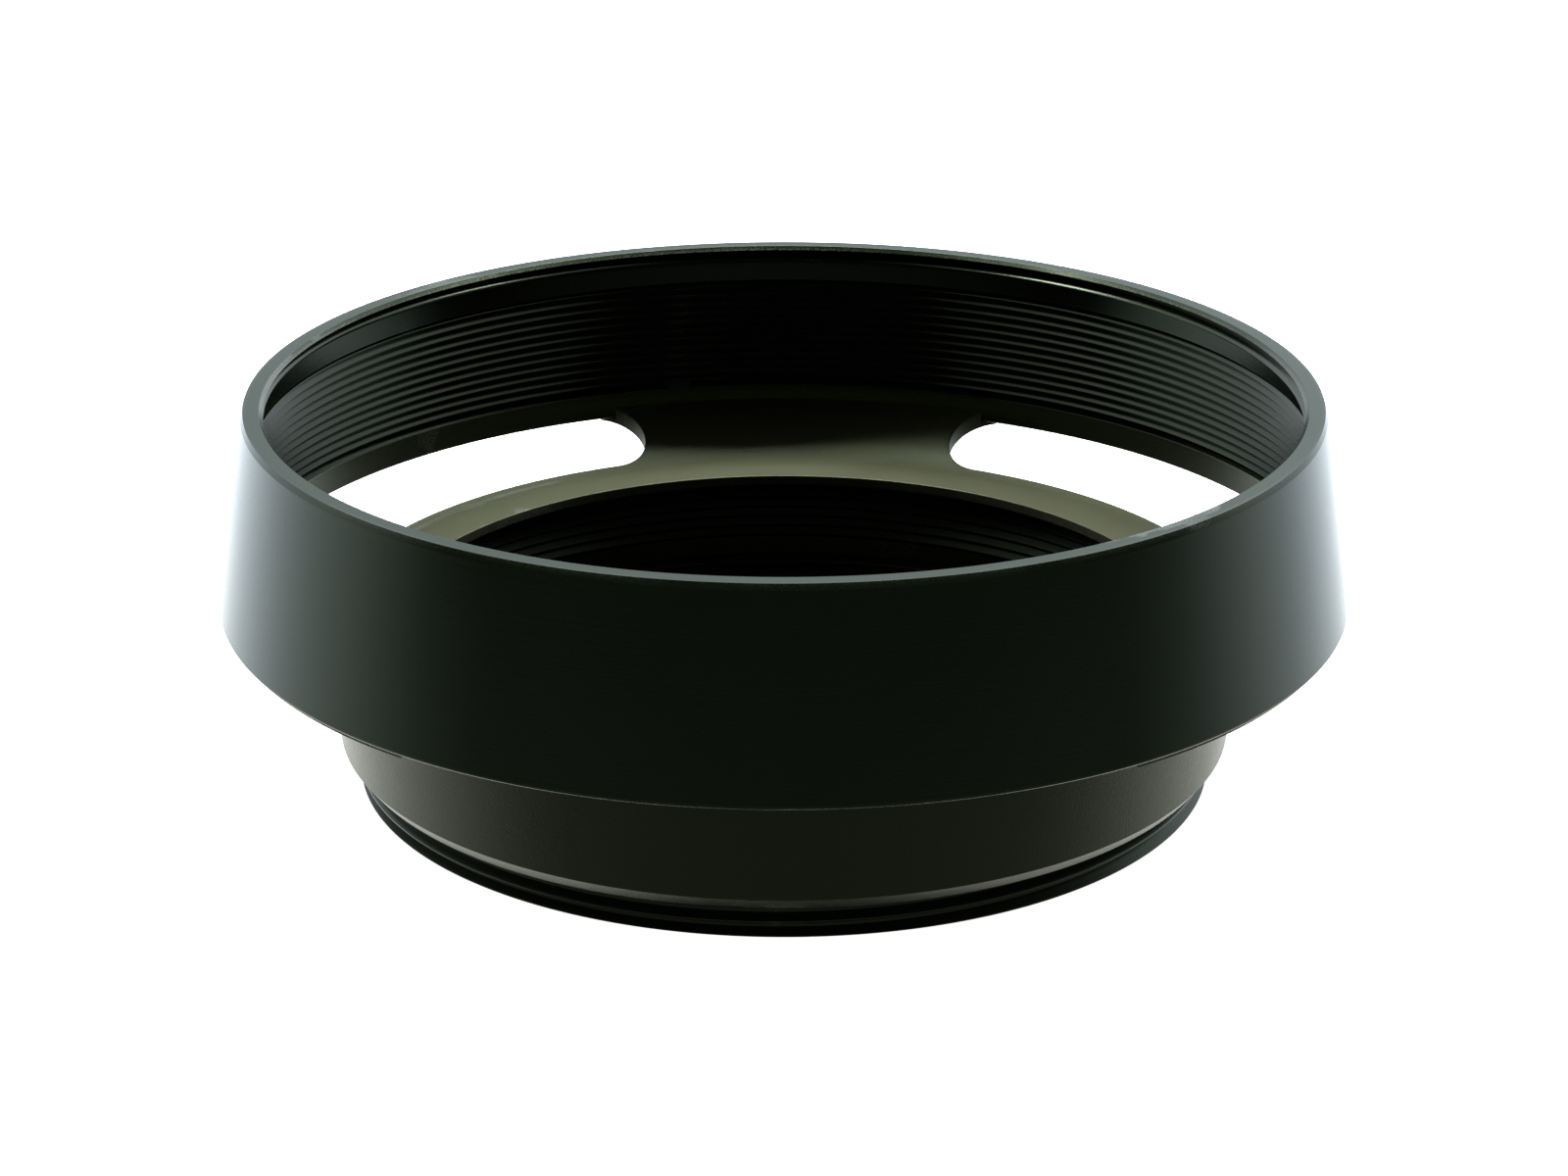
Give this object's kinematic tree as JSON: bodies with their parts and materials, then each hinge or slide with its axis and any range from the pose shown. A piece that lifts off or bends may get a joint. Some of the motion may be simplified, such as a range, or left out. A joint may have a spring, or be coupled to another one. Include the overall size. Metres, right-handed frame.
{
  "type": "screw-in lens hood",
  "caption": "Vented round lens hood in black aluminium that screws into a 43 mm lens filter thread, with a 52 mm thread in its front rim.",
  "frame": {"origin": "centre of the rear end face of the mount ring, which is also the bottom of the whole hood", "axes": "+Z along the optical axis towards the front rim; +X and +Y across the hood, with one web of the vent ring 1.5 degrees clockwise of +Y"},
  "size_m": [0.0564, 0.0564, 0.0194],
  "materials": {
    "bell black": "black anodised, satin",
    "vent ring black": "black anodised, satin",
    "neck black": "black anodised, satin",
    "mount ring black": "black anodised, matt"
  },
  "bodies": {
    "root": {"front_bell": "bell black", "vent_ring": "vent ring black", "neck_barrel": "neck black", "mount_ring": "mount ring black"}
  },
  "joints": []
}
